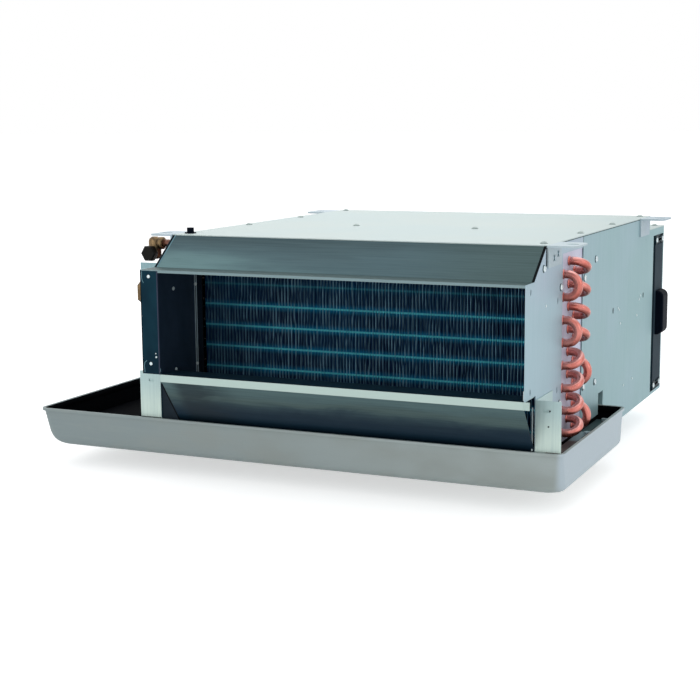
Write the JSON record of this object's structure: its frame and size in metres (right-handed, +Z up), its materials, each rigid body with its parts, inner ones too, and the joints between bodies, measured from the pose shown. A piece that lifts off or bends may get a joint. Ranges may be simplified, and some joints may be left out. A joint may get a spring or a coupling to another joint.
{
  "type": "ducted fan coil unit",
  "caption": "Low ceiling-hung fan coil unit: sheet casing with a finned copper coil, drain pan, twin centrifugal fans and a slide-out filter.",
  "frame": {"origin": "centre of the rectangle of the four hanging slots, in the plane of the ears' upper faces", "axes": "+X to the right seen from the outlet, away from the water connections; +Y from the outlet to the return end; +Z up"},
  "size_m": [0.6705, 0.6486, 0.2927],
  "materials": {
    "galvanised_sheet": "satin zinc",
    "hood_sheet": "satin zinc, darker",
    "fin_aluminium": "dark coated",
    "copper_tube": "bare copper",
    "brass_fitting": "dull brass",
    "pan_steel": "satin grey",
    "pan_lining": "matt black",
    "black_rubber": "matt",
    "black_plastic": "satin",
    "grey_strip": "satin slate",
    "bright_fastener": "bright zinc",
    "impeller_sheet": "satin zinc",
    "shaft_steel": "ground",
    "motor_core": "laminated steel",
    "motor_paint": "satin black",
    "foam": "closed cell foam",
    "filter_frame": "mill finish",
    "filter_media": "pleated fibre",
    "terminal_plastic": "moulded"
  },
  "bodies": {
    "casing": {"top_panel": "galvanised_sheet", "right_front_plate": "galvanised_sheet", "left_front_plate": "galvanised_sheet", "right_side_panel": "galvanised_sheet", "left_side_panel": "galvanised_sheet", "bottom_panel": "galvanised_sheet", "rear_top_cover": "galvanised_sheet", "return_frame": "galvanised_sheet", "fan_deck": "galvanised_sheet", "right_tube_sheet": "galvanised_sheet", "left_tube_sheet": "galvanised_sheet", "coil_top_baffle": "galvanised_sheet", "connection_bracket": "galvanised_sheet", "right_pan_bracket": "galvanised_sheet", "left_pan_bracket": "galvanised_sheet", "rear_pan_clips": "galvanised_sheet", "right_scroll": "galvanised_sheet", "left_scroll": "galvanised_sheet", "motor_bracket": "galvanised_sheet", "filter_guides": "galvanised_sheet", "hanging_ears": "galvanised_sheet", "terminal_box": "galvanised_sheet", "terminal_lid": "galvanised_sheet", "outlet_hood": "hood_sheet", "front_drip_sheet": "hood_sheet", "fin_pack": "fin_aluminium", "coil_hairpins": "copper_tube", "left_return_bends": "copper_tube", "front_header": "copper_tube", "rear_header": "copper_tube", "vent_pipe": "copper_tube", "return_union": "brass_fitting", "supply_union": "brass_fitting", "vent_elbow": "brass_fitting", "drain_spigot": "brass_fitting", "drain_nut": "brass_fitting", "drain_pan": "pan_steel", "pan_lining": "pan_lining", "drain_gasket": "black_rubber", "motor_rubber_rings": "black_rubber", "top_plug": "black_plastic", "cable_gland": "black_plastic", "pan_bolts": "bright_fastener", "casing_screws": "bright_fastener", "motor_bearings": "shaft_steel", "motor_stator": "motor_core", "motor_right_shell": "motor_paint", "motor_left_shell": "motor_paint", "top_insulation": "foam", "terminal_block": "terminal_plastic"},
    "fan_rotor": {"motor_shaft": "shaft_steel", "motor_rotor": "motor_core", "right_impeller": "impeller_sheet", "left_impeller": "impeller_sheet"},
    "air_filter": {"filter_frame": "filter_frame", "filter_media": "filter_media", "filter_end_strip": "grey_strip", "filter_handle": "black_plastic", "filter_clips": "grey_strip"},
    "vent": {"vent_cap": "black_plastic"}
  },
  "joints": [
    {"name": "fan_spin", "type": "hinge", "parent": "casing", "child": "fan_rotor", "pos_m": [0, 0.0365, -0.11], "axis": [1, 0, 0], "continuous": true},
    {"name": "filter_slide", "type": "slide", "parent": "casing", "child": "air_filter", "axis": [1, 0, 0], "range_m": [0, 0.43]},
    {"name": "vent_cap_turn", "type": "hinge", "parent": "casing", "child": "vent", "pos_m": [-0.2945, -0.1835, -0.029], "axis": [0, -1, 0], "range_deg": [0, 360]}
  ]
}
